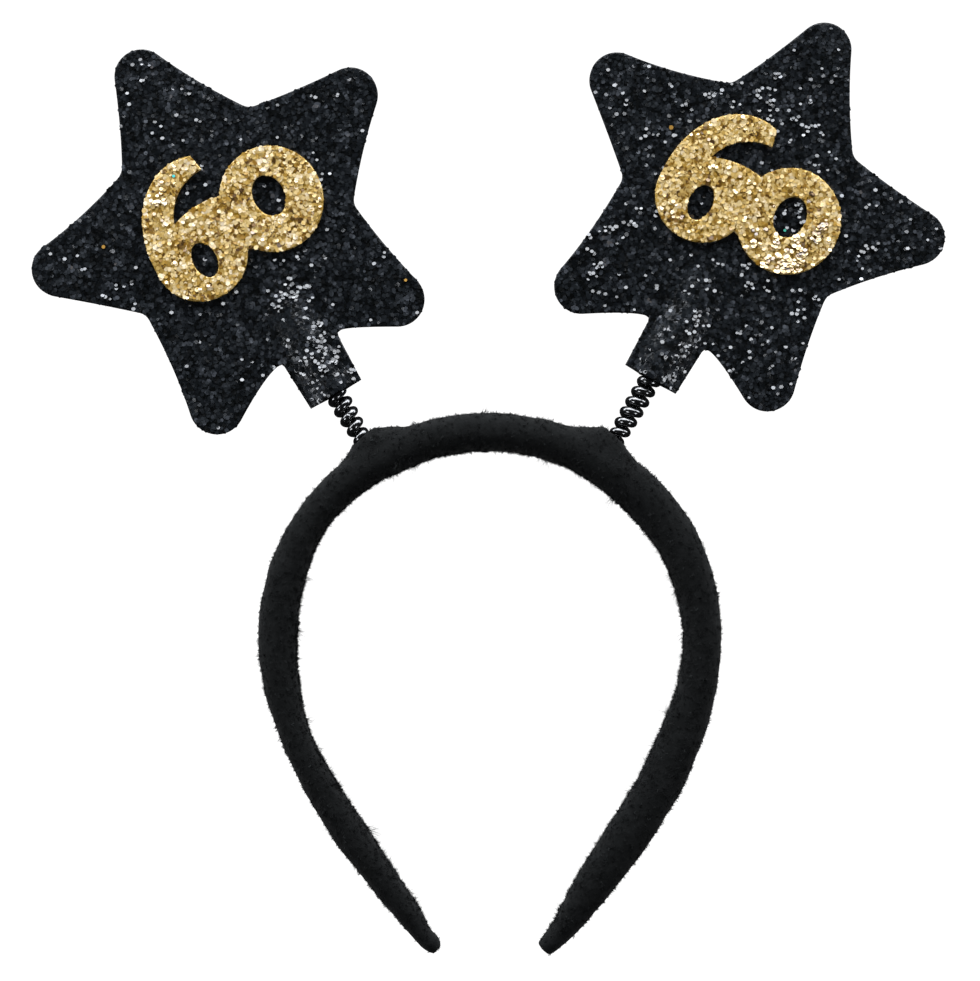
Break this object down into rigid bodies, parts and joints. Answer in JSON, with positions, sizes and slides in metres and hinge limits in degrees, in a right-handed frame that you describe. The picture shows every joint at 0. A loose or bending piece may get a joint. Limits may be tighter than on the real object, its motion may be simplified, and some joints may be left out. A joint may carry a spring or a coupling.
{
  "type": "novelty headband",
  "caption": "Padded black fleece headband with glitter stars on coil springs, each star with a gold glitter number on its front.",
  "frame": {"origin": "on the resting surface, under the middle of the whole part", "axes": "+X to the right seen from the front, +Y from the band's tips towards the stars, +Z to the front"},
  "size_m": [0.2644, 0.27, 0.0135],
  "materials": {
    "fleece": "brushed pile, matt",
    "coated_wire": "gloss coating on drawn wire",
    "black_glitter": "bonded black flakes",
    "gold_glitter": "bonded gold flakes"
  },
  "bodies": {
    "band": {"headband": "fleece"},
    "coil_left": {"spring_left": "coated_wire"},
    "star_left": {"star_left_front": "black_glitter", "star_left_back": "black_glitter", "number_left": "gold_glitter"},
    "coil_right": {"spring_right": "coated_wire"},
    "star_right": {"star_right_front": "black_glitter", "star_right_back": "black_glitter", "number_right": "gold_glitter"}
  },
  "joints": [
    {"name": "nod_left", "type": "hinge", "parent": "band", "child": "coil_left", "pos_m": [-0.03838, 0.0175, 0.00629], "axis": [0.866, 0.5, 0], "range_deg": [-30, 30], "stiffness_Nm_per_rad": 0.06, "deforming": ["spring_left"]},
    {"name": "sway_left", "type": "hinge", "parent": "coil_left", "child": "star_left", "pos_m": [-0.04213, 0.024, 0.00607], "axis": [0.0148, -0.0257, -0.9996], "range_deg": [-30, 15], "stiffness_Nm_per_rad": 0.06, "deforming": ["spring_left"]},
    {"name": "nod_right", "type": "hinge", "parent": "band", "child": "coil_right", "pos_m": [0.03941, 0.01859, 0.00625], "axis": [0.866, -0.5, 0], "range_deg": [-30, 30], "stiffness_Nm_per_rad": 0.06, "deforming": ["spring_right"]},
    {"name": "sway_right", "type": "hinge", "parent": "coil_right", "child": "star_right", "pos_m": [0.04441, 0.02724, 0.00596], "axis": [0.0148, 0.0257, 0.9996], "range_deg": [-30, 15], "stiffness_Nm_per_rad": 0.06, "deforming": ["spring_right"]}
  ]
}
